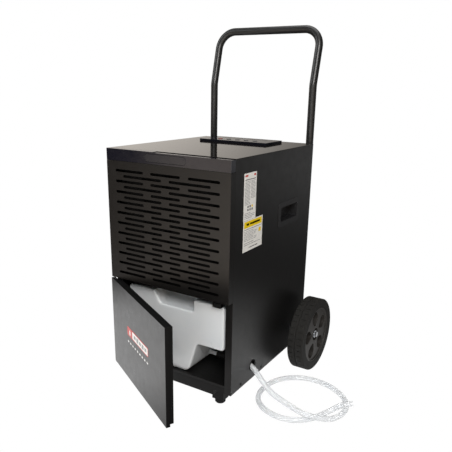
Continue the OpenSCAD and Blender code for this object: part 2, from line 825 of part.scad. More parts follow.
// Route of the hose's centre line, x from the side panel, y from the hose hole, z from the floor:
// out of the cabinet, down, once round on the floor and over itself
hose_route = [
    [-25.2, -2, 111], [-20, -2, 111], [-12, -2.4, 109.6], [-1, -3.6, 105.9], [13.5, -8, 99.5],
    [27.5, -12.5, 89.5], [39.5, -14.5, 79], [50.5, -15, 68.5], [61, -14.8, 58.5], [73.5, -14.5, 49.5],
    [89, -14.6, 43], [108, -15.5, 37.5], [133, -18, 31.5], [160, -21, 27], [187, -18.5, 24.5],
    [211, -5, 18], [230, 17.5, 11], [242.5, 46, 8], [247.5, 79, 8], [239.5, 111, 8],
    [220.5, 140, 8], [191.5, 163, 8], [156.5, 178, 8], [116.5, 183, 8], [78.5, 175, 8],
    [46.5, 155, 8], [22.5, 125, 8], [9.5, 89, 8], [7.5, 49, 8], [16.5, 12, 8],
    [38.5, -19, 8], [71.5, -39, 8], [108.5, -46, 8], [144.5, -39, 8], [174.5, -17, 8],
    [198.5, 15, 10], [217.5, 47, 15.5], [233.5, 71, 21.5], [247.5, 87, 24.5], [260.5, 99, 23.5]];

module drain_hose() {
    color([0.85, 0.87, 0.88]) translate([half_w, hole_y, 0])
        swept_tube(smooth(hose_route, 2), hose_d / 2, 12);
}

// ---------- handle ----------

leg_bottom = base_z + 440;
leg_y = back_y + handle_back;
knee_r = 60;

// One bent steel tube: two legs, two knees, two corners and the grip bar
module push_handle() {
    knee_rise = knee_r * tan(lean / 2);
    leg_top = base_z + knee_z - knee_rise;
    color(steel_black) {
        for (x = [-1, 1]) translate([x * leg_x, leg_y, 0]) {
            translate([0, 0, leg_bottom]) cylinder(r = tube_r, h = leg_top - leg_bottom);
            translate([0, knee_r, leg_top]) rotate([90, 0, -90])
                rotate_extrude(angle = lean) translate([knee_r, 0]) circle(tube_r);
        }
        translate([0, leg_y, base_z + knee_z]) rotate([-lean, 0, 0]) {
            for (x = [-1, 1]) {
                translate([x * leg_x, 0, knee_rise])
                    cylinder(r = tube_r, h = lean_len - corner_r - knee_rise);
                translate([x * (leg_x - corner_r), 0, lean_len - corner_r]) rotate([90, 0, 0])
                    rotate([0, 0, x > 0 ? 0 : 90]) rotate_extrude(angle = 90)
                        translate([corner_r, 0]) circle(tube_r);
            }
            translate([corner_r - leg_x, 0, lean_len]) rotate([0, 90, 0])
                cylinder(r = tube_r, h = 2 * (leg_x - corner_r));
        }
    }
}

// Saddle blocks between the back and the legs, and the bolt heads on the legs' rear side
module handle_clamps() {
    color(steel_black) for (x = [-1, 1], z = [base_z + 470, base_z + 580])
        translate([x * leg_x, back_y + 0.1, z]) {
            difference() {
                translate([-9, 0, -12]) cube([18, handle_back, 24]);
                translate([0, handle_back - 0.1, -13]) cylinder(r = tube_r, h = 26);
            }
            translate([0, handle_back + tube_r, 0]) rotate([-90, 0, 0]) hex_head(10, 5);
        }
}

// ---------- wheels ----------

axle_up = tyre_r - base_z;
disc_r = 86;

module wheel_axle() {
    color(zinc) translate([-hub_x - tyre_w + 8, axle_y, tyre_r]) rotate([0, 90, 0])
        cylinder(r = axle_r, h = 2 * (hub_x + tyre_w - 8));
}

// Points of an arc round [cx, 0], from angle a0 to a1 in n steps
function arc(cx, r, a0, a1, n) =
    [for (i = [0:n]) let (a = a0 + (a1 - a0) * i / n) [cx + r * cos(a), r * sin(a)]];

// Teardrop outline from a small arc near the hub to a large one near the rim
module teardrop(near, near_r, far, far_r) {
    turn = 90 + asin((far_r - near_r) / (far - near));
    polygon(concat(arc(far, far_r, -turn, turn, 16), arc(near, near_r, turn, 360 - turn, 8)));
}

// Moulded five-spoke wheel drawn on +X, axle along X: dished face, deep hub, tapered holes
module wheel_disc() {
    face = tyre_w - 1;
    dish = 4;
    hub_deep = 15;
    translate([hub_x, axle_y, tyre_r]) rotate([0, 90, 0]) difference() {
        union() {
            cylinder(r = disc_r, h = face, $fn = 96);
            translate([0, 0, -14]) cylinder(r = 21, h = 20);
        }
        translate([0, 0, face - dish]) cylinder(r = disc_r - 4, h = dish + 1, $fn = 96);
        for (i = [0:4]) rotate([0, 0, 45 + i * 72]) translate([0, 0, -1])
            linear_extrude(tyre_w + 2) teardrop(38, 8, 57, 20);
        translate([0, 0, -20]) cylinder(r = axle_r + fit, h = tyre_w + 40);
        translate([0, 0, face - hub_deep]) cylinder(r = 19.5, h = 20);
    }
}

// Solid tyre with small chamfers, a groove round the middle and two staggered rows of cross cuts
module tyre() {
    cuts = 36;
    edge = 2.5;
    mid = tyre_w / 2;
    translate([hub_x, axle_y, tyre_r]) rotate([0, 90, 0]) difference() {
        rotate_extrude($fn = 144) polygon([
            [disc_r, 0], [tyre_r - edge, 0], [tyre_r, edge], [tyre_r, mid - 1.5], [tyre_r - 2.5, mid - 1],
            [tyre_r - 2.5, mid + 1], [tyre_r, mid + 1.5], [tyre_r, tyre_w - edge], [tyre_r - edge, tyre_w],
            [disc_r, tyre_w]]);
        for (i = [0:cuts - 1], row = [0, 1]) rotate([0, 0, (i + 0.25 + row / 2) * 360 / cuts])
            translate([tyre_r - 2, -1, row == 0 ? 3.5 : tyre_w - 17.5]) cube([6, 2, 14]);
    }
}

module left_wheel() {
    color(tyre_black) mirror([1, 0, 0]) wheel_disc();
}

module left_tyre() {
    color(tyre_black) mirror([1, 0, 0]) tyre();
}

module right_wheel() {
    color(tyre_black) wheel_disc();
}

module right_tyre() {
    color(tyre_black) tyre();
}

// Washer and bolt head on each end of the axle
module axle_bolts() {
    color(zinc) for (x = [-1, 1])
        translate([x * (hub_x + tyre_w - 8), axle_y, tyre_r]) rotate([0, x * 90, 0]) {
            cylinder(r = 11.5, h = 2);
            translate([0, 0, 2 - eps]) hex_head(15, 6);
        }
}

foot_x = 124;
foot_y = side_y + 57.5;
foot_r = 15;
foot_h = 12.8;

// Rubber feet with a rounded lower edge
module front_feet() {
    color(tyre_black) for (x = [-1, 1]) translate([x * foot_x, foot_y, 0]) rotate_extrude()
        polygon([[0, 0], [foot_r - 3, 0], [foot_r, 3], [foot_r, foot_h], [0, foot_h]]);
}

// Folded steel blocks between the pan and the feet, open at the back
module foot_brackets() {
    h = pan_z - foot_h - 0.3;
    color(steel_black) for (x = [-1, 1]) translate([x * foot_x, foot_y, foot_h + 0.2]) difference() {
        translate([-18, -15, 0]) cube([36, 30, h]);
        translate([-16, -13, 2]) cube([32, 30, h - 4]);
    }
}

// ---------- trim ----------

// Moulded pocket on +X: a shallow box with a thin outer lip
module grip_cup() {
    depth = 26;
    lip = 0.7;
    translate([half_w + lip + 0.1, grip_y, grip_z]) difference() {
        union() {
            side_plate(lip) round_rect(grip_w + 2 * grip_rim, grip_h + 2 * grip_rim, 9);
            translate([-lip + eps, 0, 0]) side_plate(depth) round_rect(grip_w - 0.8, grip_h - 0.8, 5);
        }
        translate([1, 0, 0]) side_plate(depth) round_rect(grip_w - 5, grip_h - 5, 4);
    }
}

module left_grip() {
    color(plastic_black) mirror([1, 0, 0]) grip_cup();
}

module right_grip() {
    color(plastic_black) grip_cup();
}

label_t = 0.4;

module rating_label() {
    color([0.92, 0.92, 0.90]) translate([half_w + 0.05 + label_t, mid_y - 153, base_z + 522])
        side_plate(label_t) square([61, 117], center = true);
}

module notice_label() {
    color([0.95, 0.90, 0.55]) translate([half_w + 0.05 + label_t, mid_y - 133, base_z + 423])
        side_plate(label_t) square([99, 80], center = true);
}

// Cable gland on the back, for the supply lead
module cable_gland() {
    at = [120, back_y - sheet_t - 0.1, base_z + 110];
    color(plastic_black) translate(at) rotate([-90, 0, 0]) difference() {
        union() {
            translate([0, 0, 0.1]) hex_head(24, 6);
            translate([0, 0, 6]) cylinder(r = 10, h = 10);
            translate([0, 0, -8]) cylinder(r = 8, h = 9);
        }
        translate([0, 0, -9]) cylinder(r = 4, h = 30);
    }
}

// Pan head screw along +Z
module screw_head() {
    difference() {
        cylinder(r = 3.6, h = 1.8, $fn = 24);
        translate([-2.2, -0.5, 1]) cube([4.4, 1, 2]);
        translate([-0.5, -2.2, 1]) cube([1, 4.4, 2]);
    }
}

// Screws along the side panels' lower edge and round the back
module casing_screws() {
    color(steel_black) {
        for (x = [-1, 1], y = [-171, -55, 60, 200])
            translate([x * (half_w + 0.05), mid_y + y, base_z + 10]) rotate([0, x * 90, 0]) screw_head();
        for (x = [-1, 1], z = [30, 220, 400])
            translate([x * (half_w - 8), back_y + 0.05, base_z + z]) rotate([-90, 0, 0]) screw_head();
    }
}

base_chassis();
tank_tray();
left_side_panel();
right_side_panel();
top_cover();
rear_panel();
exhaust_guard();
front_trim();
display_window();
louvre_panel();
air_filter();
bay_partition();
deck_plate();
drip_tray();
evaporator();
condenser();
copper_pipes();
compressor();
compressor_mounts();
fan_shroud();
motor_bracket();
fan_motor();
fan_rotor();
control_box();
circuit_board();
run_capacitor();
control_plate();
power_button();
mode_button();
up_button();
down_button();
timer_button();
door_skin();
door_liner();
hinge_pins();
hinge_bracket();
magnet_catch();
strike_plate();
water_tank();
float_stem();
tank_float();
drain_coupling();
hose_grommet();
drain_hose();
push_handle();
handle_clamps();
wheel_axle();
left_wheel();
left_tyre();
right_wheel();
right_tyre();
axle_bolts();
front_feet();
foot_brackets();
left_grip();
right_grip();
rating_label();
notice_label();
cable_gland();
casing_screws();
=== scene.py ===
"""Looks of a wheeled dehumidifier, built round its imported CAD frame. Metres, +Z up, the front faces -Y."""
import json
import math

import bmesh
import bpy
from mathutils import Matrix, Vector


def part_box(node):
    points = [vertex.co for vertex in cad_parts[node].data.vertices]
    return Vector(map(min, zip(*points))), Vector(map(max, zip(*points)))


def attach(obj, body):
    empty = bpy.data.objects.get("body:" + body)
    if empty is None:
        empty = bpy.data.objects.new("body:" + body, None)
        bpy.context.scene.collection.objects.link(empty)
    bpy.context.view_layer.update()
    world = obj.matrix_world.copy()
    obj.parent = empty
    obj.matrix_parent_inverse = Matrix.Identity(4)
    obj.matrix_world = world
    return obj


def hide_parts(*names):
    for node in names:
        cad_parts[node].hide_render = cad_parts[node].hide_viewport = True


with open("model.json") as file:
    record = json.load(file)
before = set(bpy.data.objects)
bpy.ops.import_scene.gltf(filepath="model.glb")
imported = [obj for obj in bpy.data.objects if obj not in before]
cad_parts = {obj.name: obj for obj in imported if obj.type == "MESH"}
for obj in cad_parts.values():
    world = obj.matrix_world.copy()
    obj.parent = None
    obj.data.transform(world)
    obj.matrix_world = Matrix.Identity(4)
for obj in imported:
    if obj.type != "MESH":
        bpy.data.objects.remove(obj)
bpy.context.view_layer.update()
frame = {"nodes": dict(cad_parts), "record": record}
MM = 0.001

# ---------- places taken from the frame ----------

side_lo, side_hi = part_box("right_side_panel")
half_w = side_hi.x
mid_y = (side_lo.y + side_hi.y) / 2
base_z = side_lo.z
face_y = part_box("louvre_panel")[0].y


def middle(node):
    lo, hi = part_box(node)
    return (lo + hi) / 2


# ---------- camera ----------

CAMERA_AZIMUTH, CAMERA_ELEVATION, CAMERA_ROLL = (math.radians(a) for a in (31.5, 17.05, 1.05))
CAMERA_PLACE = Vector((0, mid_y, base_z)) + Vector((0.8288, -1.3009, 0.7792))
CAMERA_LENS, SENSOR_WIDTH, CAMERA_SHIFT = 43.19, 36, 0.0585


def make_camera():
    """The viewer stands in front, to the right and above, with a lens of about 43 mm."""
    data = bpy.data.cameras.new("camera")
    data.sensor_width = SENSOR_WIDTH
    data.lens = CAMERA_LENS
    data.shift_y = CAMERA_SHIFT
    data.clip_start, data.clip_end = 0.05, 30
    cam = bpy.data.objects.new("camera", data)
    bpy.context.scene.collection.objects.link(cam)
    az, el, roll = CAMERA_AZIMUTH, CAMERA_ELEVATION, CAMERA_ROLL
    back = Vector((math.sin(az) * math.cos(el), -math.cos(az) * math.cos(el), math.sin(el)))
    right = Vector((math.cos(az), math.sin(az), 0))
    up = back.cross(right)
    x_axis = right * math.cos(roll) + up * math.sin(roll)
    y_axis = up * math.cos(roll) - right * math.sin(roll)
    turn = Matrix((x_axis, y_axis, back)).transposed().to_4x4()
    cam.matrix_world = Matrix.Translation(CAMERA_PLACE) @ turn
    bpy.context.scene.camera = cam


make_camera()

# ---------- node materials ----------


# The Mix node's colour sockets share their names with its number sockets, so they go by place
MIX_A, MIX_B, MIX_OUT = 6, 7, 2


class Tree:
    """A small helper round a node tree."""

    def __init__(self, tree, coords):
        self.tree = tree
        self.coords = self.add("ShaderNodeTexCoord").outputs[coords]

    def add(self, kind, **inputs):
        node = self.tree.nodes.new(kind)
        for name, value in inputs.items():
            self.put(node.inputs[name.replace("_", " ")], value)
        return node

    def put(self, socket, value):
        if isinstance(value, bpy.types.NodeSocket):
            self.tree.links.new(value, socket)
        else:
            socket.default_value = value

    def ramp(self, value, low, high, out_low, out_high):
        node = self.add("ShaderNodeMapRange", Value=value)
        for name, v in (("From Min", low), ("From Max", high), ("To Min", out_low), ("To Max", out_high)):
            node.inputs[name].default_value = v
        return node.outputs["Result"]

    def mix(self, fac, a, b):
        node = self.add("ShaderNodeMix")
        node.data_type = "RGBA"
        self.put(node.inputs["Factor"], fac)
        self.put(node.inputs[MIX_A], a)
        self.put(node.inputs[MIX_B], b)
        return node.outputs[MIX_OUT]

    def math(self, operation, a, b, kind="ShaderNodeMath", result="Value"):
        node = self.add(kind)
        node.operation = operation
        self.put(node.inputs[0], a)
        self.put(node.inputs[1], b)
        return node.outputs[result]

    def vector_math(self, operation, a, b, result="Vector"):
        return self.math(operation, a, b, "ShaderNodeVectorMath", result)

    def seen(self):
        """1 for what the viewer sees, straight or through clear plastic, and 0 for all other rays."""
        path = self.add("ShaderNodeLightPath")
        return self.math("MAXIMUM", path.outputs["Is Camera Ray"], path.outputs["Is Transmission Ray"])


class Nodes(Tree):
    """The node tree of a new material."""

    def __init__(self, name):
        self.mat = bpy.data.materials.new(name)
        self.mat.use_nodes = True
        super().__init__(self.mat.node_tree, "Object")
        self.shader = self.tree.nodes["Principled BSDF"]

    def set(self, **inputs):
        for name, value in inputs.items():
            self.put(self.shader.inputs[name.replace("_", " ")], value)

    def noise(self, scale, detail=3.0, rough=0.5, vector=None):
        node = self.add("ShaderNodeTexNoise", Scale=scale, Detail=detail, Roughness=rough)
        self.put(node.inputs["Vector"], vector or self.coords)
        return node.outputs["Fac"]

    def stretched(self, x, y, z):
        node = self.add("ShaderNodeMapping", Vector=self.coords)
        node.inputs["Scale"].default_value = (x, y, z)
        return node.outputs["Vector"]

    def bump(self, height, distance, strength=1.0, normal=None):
        node = self.add("ShaderNodeBump", Height=height, Distance=distance, Strength=strength)
        if normal is not None:
            self.put(node.inputs["Normal"], normal)
        return node.outputs["Normal"]


def rgba(r, g, b):
    return (r, g, b, 1.0)


def scaled(colour, k):
    return (min(colour[0] * k, 1.0), min(colour[1] * k, 1.0), min(colour[2] * k, 1.0), 1.0)


def powder_coat(name, colour, rough, grain, depth, gloss=0.5, coat=0.0, tint=(1, 1, 1)):
    """Sprayed paint: cloudy tone, orange peel, uneven roughness and fine pin grain. grain is per metre."""
    n = Nodes(name)
    cloud = n.noise(9, 4)
    dust = n.noise(42, 5, 0.65)
    pin = n.noise(grain, 2)
    peel = n.noise(grain * 0.22, 2)
    n.set(Base_Color=n.mix(n.ramp(cloud, 0.3, 0.7, 0, 1), scaled(colour, 0.88), scaled(colour, 1.14)))
    n.set(Roughness=n.ramp(dust, 0.25, 0.75, rough * 0.85, rough * 1.2))
    n.set(Normal=n.bump(pin, depth, 0.5, n.bump(peel, depth * 2, 0.35)))
    n.set(Specular_IOR_Level=gloss, Coat_Weight=coat, Coat_Roughness=0.08, Specular_Tint=rgba(*tint))
    return n.mat


def moulded(name, colour, rough, grain=1400, depth=0.05 * MM, gloss=0.45):
    """Injection-moulded plastic with a spark-eroded texture and faint flow marks."""
    n = Nodes(name)
    flow = n.noise(6, 3, vector=n.stretched(1, 1, 3.5))
    cells = n.add("ShaderNodeTexVoronoi", Scale=grain)
    n.put(cells.inputs["Vector"], n.coords)
    scuff = n.noise(70, 6, 0.7)
    n.set(Base_Color=n.mix(n.ramp(flow, 0.35, 0.65, 0, 1), scaled(colour, 0.86), scaled(colour, 1.12)))
    n.set(Roughness=n.ramp(scuff, 0.3, 0.75, rough - 0.06, rough + 0.07))
    n.set(Normal=n.bump(cells.outputs["Distance"], depth, 0.6))
    n.set(Specular_IOR_Level=gloss)
    return n.mat


def rubber(name, colour, rough=0.72):
    """Matt rubber with patchy bloom and a gritty face."""
    n = Nodes(name)
    bloom = n.noise(28, 6, 0.7)
    grit = n.noise(900, 3)
    n.set(Base_Color=n.mix(n.ramp(bloom, 0.35, 0.7, 0, 1), scaled(colour, 0.8), scaled(colour, 1.35)))
    n.set(Roughness=n.ramp(bloom, 0.3, 0.7, rough, rough + 0.14))
    n.set(Normal=n.bump(grit, 0.12 * MM, 0.6))
    n.set(Specular_IOR_Level=0.35)
    return n.mat


def metal(name, colour, rough, grain, lines=None):
    """Bare metal, brushed along one axis where lines gives the stretch."""
    n = Nodes(name)
    vector = n.stretched(*lines) if lines else n.coords
    brushing = n.noise(grain, 4, 0.6, vector)
    patches = n.noise(18, 4)
    n.set(Base_Color=n.mix(n.ramp(patches, 0.3, 0.7, 0, 1), scaled(colour, 0.85), scaled(colour, 1.1)))
    n.set(Metallic=1.0, Roughness=n.ramp(brushing, 0.3, 0.7, rough - 0.07, rough + 0.09))
    n.set(Normal=n.bump(brushing, 0.03 * MM, 0.5))
    return n.mat


def tank_plastic():
    """Natural blow-moulded polyethylene: milky, a little uneven in thickness, waxy on the surface."""
    n = Nodes("tank_polyethylene")
    wall = n.noise(7, 4, 0.55)
    wave = n.noise(16, 2)
    grain = n.noise(700, 2)
    n.set(Base_Color=n.mix(n.ramp(wall, 0.3, 0.7, 0, 1), rgba(0.81, 0.87, 0.91), rgba(0.90, 0.94, 0.96)))
    n.set(Roughness=n.ramp(wall, 0.3, 0.7, 0.26, 0.38))
    n.set(Normal=n.bump(grain, 0.04 * MM, 0.4, n.bump(wave, 0.8 * MM, 0.35)))
    n.set(Subsurface_Weight=0.35, Subsurface_Radius=(0.02, 0.021, 0.021))
    n.set(Subsurface_Scale=0.6, Coat_Weight=0.45, Coat_Roughness=0.10)
    return n.mat


def clear_pvc():
    """Clear soft PVC with a milky cast, glossy on the outside."""
    n = Nodes("clear_pvc")
    cast = n.noise(30, 4)
    n.set(Base_Color=n.mix(n.ramp(cast, 0.3, 0.7, 0, 1), rgba(0.90, 0.915, 0.93), rgba(0.96, 0.965, 0.97)))
    n.set(Roughness=n.ramp(cast, 0.3, 0.7, 0.14, 0.22))
    n.set(Transmission_Weight=0.65, IOR=1.06, Coat_Weight=0.5, Coat_Roughness=0.06)
    return n.mat


def mesh_cloth():
    """Black filter netting, woven both ways."""
    n = Nodes("filter_netting")
    across = n.add("ShaderNodeTexWave", Scale=420.0)
    up = n.add("ShaderNodeTexWave", Scale=420.0)
    across.bands_direction, up.bands_direction = "X", "Z"
    for wave in (across, up):
        n.put(wave.inputs["Vector"], n.coords)
    weave = n.math("MAXIMUM", across.outputs["Fac"], up.outputs["Fac"])
    n.set(Base_Color=n.mix(weave, rgba(0.002, 0.002, 0.002), rgba(0.006, 0.006, 0.006)))
    n.set(Specular_IOR_Level=0.1)
    n.set(Roughness=n.ramp(weave, 0, 1, 0.9, 0.6), Normal=n.bump(weave, 0.3 * MM, 0.8))
    return n.mat


def board_green():
    """Solder mask with tracks showing as lighter squares."""
    n = Nodes("solder_mask")
    tracks = n.add("ShaderNodeTexBrick", Scale=60.0, Mortar_Size=0.03)
    n.put(tracks.inputs["Vector"], n.coords)
    tracks.inputs["Color1"].default_value = rgba(0.02, 0.13, 0.05)
    tracks.inputs["Color2"].default_value = rgba(0.03, 0.17, 0.07)
    tracks.inputs["Mortar"].default_value = rgba(0.06, 0.28, 0.12)
    n.set(Base_Color=tracks.outputs["Color"], Roughness=n.ramp(n.noise(90), 0.3, 0.7, 0.3, 0.45))
    return n.mat


def printed(name, colour, rough=0.35):
    """Ink or film on a sticker: even tone with a trace of unevenness."""
    n = Nodes(name)
    tone = n.noise(160, 3)
    n.set(Base_Color=n.mix(n.ramp(tone, 0.3, 0.7, 0, 1), scaled(colour, 0.95), scaled(colour, 1.03)))
    n.set(Roughness=n.ramp(tone, 0.3, 0.7, rough - 0.03, rough + 0.05))
    return n.mat


BLACK = (0.0062, 0.0060, 0.0060)
MATERIALS = {
    # A darker, duller copy of the door's paint: painted shade on the door's folded edges and its liner.
    "door_edge_shaded": powder_coat("door_edge_shaded", (0.0050, 0.0050, 0.0052), 0.5, 1500, 0.04 * MM, 0.12),
    "cabinet_paint": powder_coat("cabinet_paint", BLACK, 0.32, 1500, 0.04 * MM, 0.42),
    # A darker copy of the cabinet's paint for the louvre panel: painted shade on the front.
    "front_paint_shaded": powder_coat("front_paint_shaded", (0.0042, 0.0037, 0.0034), 0.34, 1500, 0.04 * MM, 0.45),
    "frame_paint": powder_coat("frame_paint", (0.0050, 0.0050, 0.0052), 0.48, 1200, 0.05 * MM, 0.25),
    "door_paint": powder_coat("door_paint", (0.0068, 0.0065, 0.0064), 0.30, 1500, 0.04 * MM, 0.6),
    # The warm tint on the top's reflections is a painted warm reflection.
    "top_paint": powder_coat("top_paint", (0.0085, 0.0068, 0.0058), 0.06, 500, 0.004 * MM, 0.6,
                             tint=(1, 0.95, 0.89)),
    "handle_paint": powder_coat("handle_paint", (0.010, 0.010, 0.010), 0.36, 900, 0.004 * MM, 0.6),
    "gloss_trim": moulded("gloss_trim", (0.008, 0.008, 0.013), 0.13, 260, 0.004 * MM, 0.5),
    "display_plastic": moulded("display_plastic", (0.016, 0.016, 0.020), 0.20, 260, 0.01 * MM, 0.5),
    "black_plastic": moulded("black_plastic", (0.007, 0.007, 0.007), 0.48, gloss=0.3),
    "grip_plastic": moulded("grip_plastic", (0.014, 0.014, 0.015), 0.40),
    "wheel_plastic": moulded("wheel_plastic", (0.030, 0.027, 0.024), 0.50, 900, 0.08 * MM),
    "tyre_rubber": rubber("tyre_rubber", (0.0125, 0.012, 0.0108)),
    "rubber_parts": rubber("rubber_parts", (0.006, 0.006, 0.006)),
    "fan_plastic": moulded("fan_plastic", (0.02, 0.02, 0.021), 0.4),
    "compressor_paint": powder_coat("compressor_paint", (0.014, 0.014, 0.015), 0.3, 420, 0.08 * MM, 0.5, 0.3),
    "motor_metal": powder_coat("motor_metal", (0.10, 0.105, 0.11), 0.45, 500, 0.12 * MM),
    "coil_fins": metal("coil_fins", (0.74, 0.75, 0.77), 0.32, 220, (1, 1, 0.05)),
    "copper_tube": metal("copper_tube", (0.70, 0.33, 0.20), 0.28, 160),
    "zinc_sheet": metal("zinc_sheet", (0.52, 0.53, 0.54), 0.42, 120),
    "zinc_steel": metal("zinc_steel", (0.68, 0.70, 0.73), 0.26, 260),
    "board_resin": board_green(),
    "capacitor_plastic": moulded("capacitor_plastic", (0.55, 0.55, 0.53), 0.32),
    "key_red": moulded("key_red", (0.32, 0.02, 0.015), 0.34),
    "key_grey": moulded("key_grey", (0.09, 0.09, 0.095), 0.36),
    "tank_plastic": tank_plastic(),
    "float_foam": moulded("float_foam", (0.70, 0.70, 0.68), 0.7, 700, 0.2 * MM),
    "clear_hose": clear_pvc(),
    "label_white": printed("label_white", (0.88, 0.88, 0.86)),
    "label_notice": printed("label_notice", (0.88, 0.88, 0.85)),
    "screw_paint": powder_coat("screw_paint", (0.012, 0.012, 0.012), 0.32, 900, 0.04 * MM),
    "filter_netting": mesh_cloth(),
}
INK_DARK = printed("ink_dark", (0.10, 0.10, 0.11))
INK_GREY = printed("ink_grey", (0.30, 0.31, 0.32))
INK_RED = printed("ink_red", (0.60, 0.05, 0.04))
INK_YELLOW = printed("ink_yellow", (0.92, 0.66, 0.0))
INK_PALE = printed("ink_pale", (0.55, 0.55, 0.54))

# ---------- mesh helpers ----------

SLOT_OF = {s["node"]: s["material_slot"] for s in frame["record"]["subparts"]}
BODY_OF = {n: b for b, nodes in frame["record"]["behaviour"]["bodies"].items() for n in nodes}
SHARP = math.radians(32)        # edges that turn more than this are rounded or shaded as creases
FLAT = math.radians(0.6)        # faces that turn less than this become one
WELD = 0.01 * MM                # points closer than this become one


def add_mesh(name, bm, material, body, replaces=(), smooth=True):
    """Turns a bmesh into an object that rides on a body and takes a slot's finish."""
    mesh = bpy.data.meshes.new(name)
    bm.normal_update()
    bm.to_mesh(mesh)
    bm.free()
    for layer in [a for a in mesh.attributes if a.name == "custom_normal"]:
        mesh.attributes.remove(layer)
    mesh.polygons.foreach_set("use_smooth", [smooth] * len(mesh.polygons))
    if smooth:
        mesh.set_sharp_from_angle(angle=SHARP)
    obj = bpy.data.objects.new(name, mesh)
    for m in material if isinstance(material, list) else [material]:
        mesh.materials.append(m)
    bpy.context.scene.collection.objects.link(obj)
    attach(obj, body)
    if smooth:
        normals = obj.modifiers.new("flat_faces", "WEIGHTED_NORMAL")
        normals.keep_sharp = True
        normals.weight = 80
    if replaces:
        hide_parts(*replaces)
    return obj


def sharp_edges(bm):
    return [e for e in bm.edges if len(e.link_faces) == 2 and e.calc_face_angle(0) > SHARP]


def soften(node, width, segments=2, material=None):
    """A copy of a CAD node's shape with its sharp edges rounded by width, in the node's place."""
    bm = bmesh.new()
    bm.from_mesh(frame["nodes"][node].data)
    bmesh.ops.remove_doubles(bm, verts=bm.verts, dist=WELD)
    bmesh.ops.dissolve_limit(bm, angle_limit=FLAT, verts=bm.verts, edges=bm.edges)
    bmesh.ops.bevel(bm, geom=sharp_edges(bm), offset=width, offset_type="OFFSET", segments=segments,
                    profile=0.5, affect="EDGES", clamp_overlap=True)
    return add_mesh(node + "_soft", bm, material or MATERIALS[SLOT_OF[node]], BODY_OF[node],
                    [node])


def prism(bm, back, front, material_index=0):
    """A solid between two outlines of as many points, which run anticlockwise as seen from the front."""
    back, front = [bm.verts.new(c) for c in back], [bm.verts.new(c) for c in front]
    faces = [bm.faces.new(back[::-1]), bm.faces.new(front)]
    for i, v in enumerate(back):
        j = (i + 1) % len(back)
        faces.append(bm.faces.new([v, back[j], front[j], front[i]]))
    for face in faces:
        face.material_index = material_index


def ring_points(centre, along, radius, sides, reference):
    """Points round centre, square to along. The first lies square to reference too."""
    a = along.cross(reference).normalized()
    b = along.cross(a)
    return [centre + radius * (math.cos(t) * a + math.sin(t) * b)
            for t in (2 * math.pi * i / sides for i in range(sides))]


def swept(bm, path, radius, sides, reference, bore=0.0):
    """A round bar along path, or with a bore, an open tube with rings for ends."""

    def skin(r, flip):
        rings = []
        for i, p in enumerate(path):
            along = (path[min(i + 1, len(path) - 1)] - path[max(i - 1, 0)]).normalized()
            rings.append([bm.verts.new(c) for c in ring_points(p, along, r, sides, reference)])
        for one, two in zip(rings, rings[1:]):
            for k in range(sides):
                face = [one[k], one[(k + 1) % sides], two[(k + 1) % sides], two[k]]
                bm.faces.new(face[::-1] if flip else face)
        return rings[0], rings[-1]

    first, last = skin(radius, False)
    if bore:
        inner_first, inner_last = skin(bore, True)
        for outer, inner, flip in ((first, inner_first, True), (last, inner_last, False)):
            for k in range(sides):
                j = (k + 1) % sides
                face = [outer[k], outer[j], inner[j], inner[k]]
                bm.faces.new(face[::-1] if flip else face)
    else:
        bm.faces.new(first[::-1])
        bm.faces.new(last)
    bmesh.ops.recalc_face_normals(bm, faces=bm.faces)


# ---------- drain hose ----------

# Centre line in millimetres: x from the side panel, y from the hose hole, z from the floor
HOSE_ROUTE = [
    (-25.2, -2, 111), (-20, -2, 111), (-12, -2.4, 109.6), (-1, -3.6, 105.9), (13.5, -8, 99.5),
    (27.5, -12.5, 89.5), (39.5, -14.5, 79), (50.5, -15, 68.5), (61, -14.8, 58.5), (73.5, -14.5, 49.5),
    (89, -14.6, 43), (108, -15.5, 37.5), (133, -18, 31.5), (160, -21, 27), (187, -18.5, 24.5),
    (211, -5, 18), (230, 17.5, 11), (242.5, 46, 8), (247.5, 79, 8), (239.5, 111, 8),
    (220.5, 140, 8), (191.5, 163, 8), (156.5, 178, 8), (116.5, 183, 8), (78.5, 175, 8),
    (46.5, 155, 8), (22.5, 125, 8), (9.5, 89, 8), (7.5, 49, 8), (16.5, 12, 8),
    (38.5, -19, 8), (71.5, -39, 8), (108.5, -46, 8), (144.5, -39, 8), (174.5, -17, 8),
    (198.5, 15, 10), (217.5, 47, 15.5), (233.5, 71, 21.5), (247.5, 87, 24.5), (260.5, 99, 23.5)]
HOSE_RADIUS, HOSE_BORE = 7.5 * MM, 5.2 * MM
HOSE_SIDES, HOSE_STEPS = 28, 6    # faces round the hose, and rings to each span of its route


def catmull_rom(points, steps):
    """A smooth line through points, steps pieces to each span."""
    def at(i):
        return points[max(0, min(i, len(points) - 1))]

    line = []
    for i in range(len(points) - 1):
        a, b, c, d = at(i - 1), at(i), at(i + 1), at(i + 2)
        for k in range(steps):
            t = k / steps
            line.append(0.5 * (2 * b + (c - a) * t + (2 * a - 5 * b + 4 * c - d) * t * t
                               + (3 * b - a - 3 * c + d) * t ** 3))
    return line + [points[-1]]


def make_hose():
    origin = Vector((half_w, middle("hose_grommet").y, 0))
    line = catmull_rom([origin + Vector(p) * MM for p in HOSE_ROUTE], HOSE_STEPS)
    bm = bmesh.new()
    swept(bm, line, HOSE_RADIUS, HOSE_SIDES, Vector((0.1, 0.2, 1)), bore=HOSE_BORE)
    hose = add_mesh("drain_hose_tube", bm, MATERIALS["clear_hose"], "root", ["drain_hose"])


make_hose()

# ---------- cabinet ----------

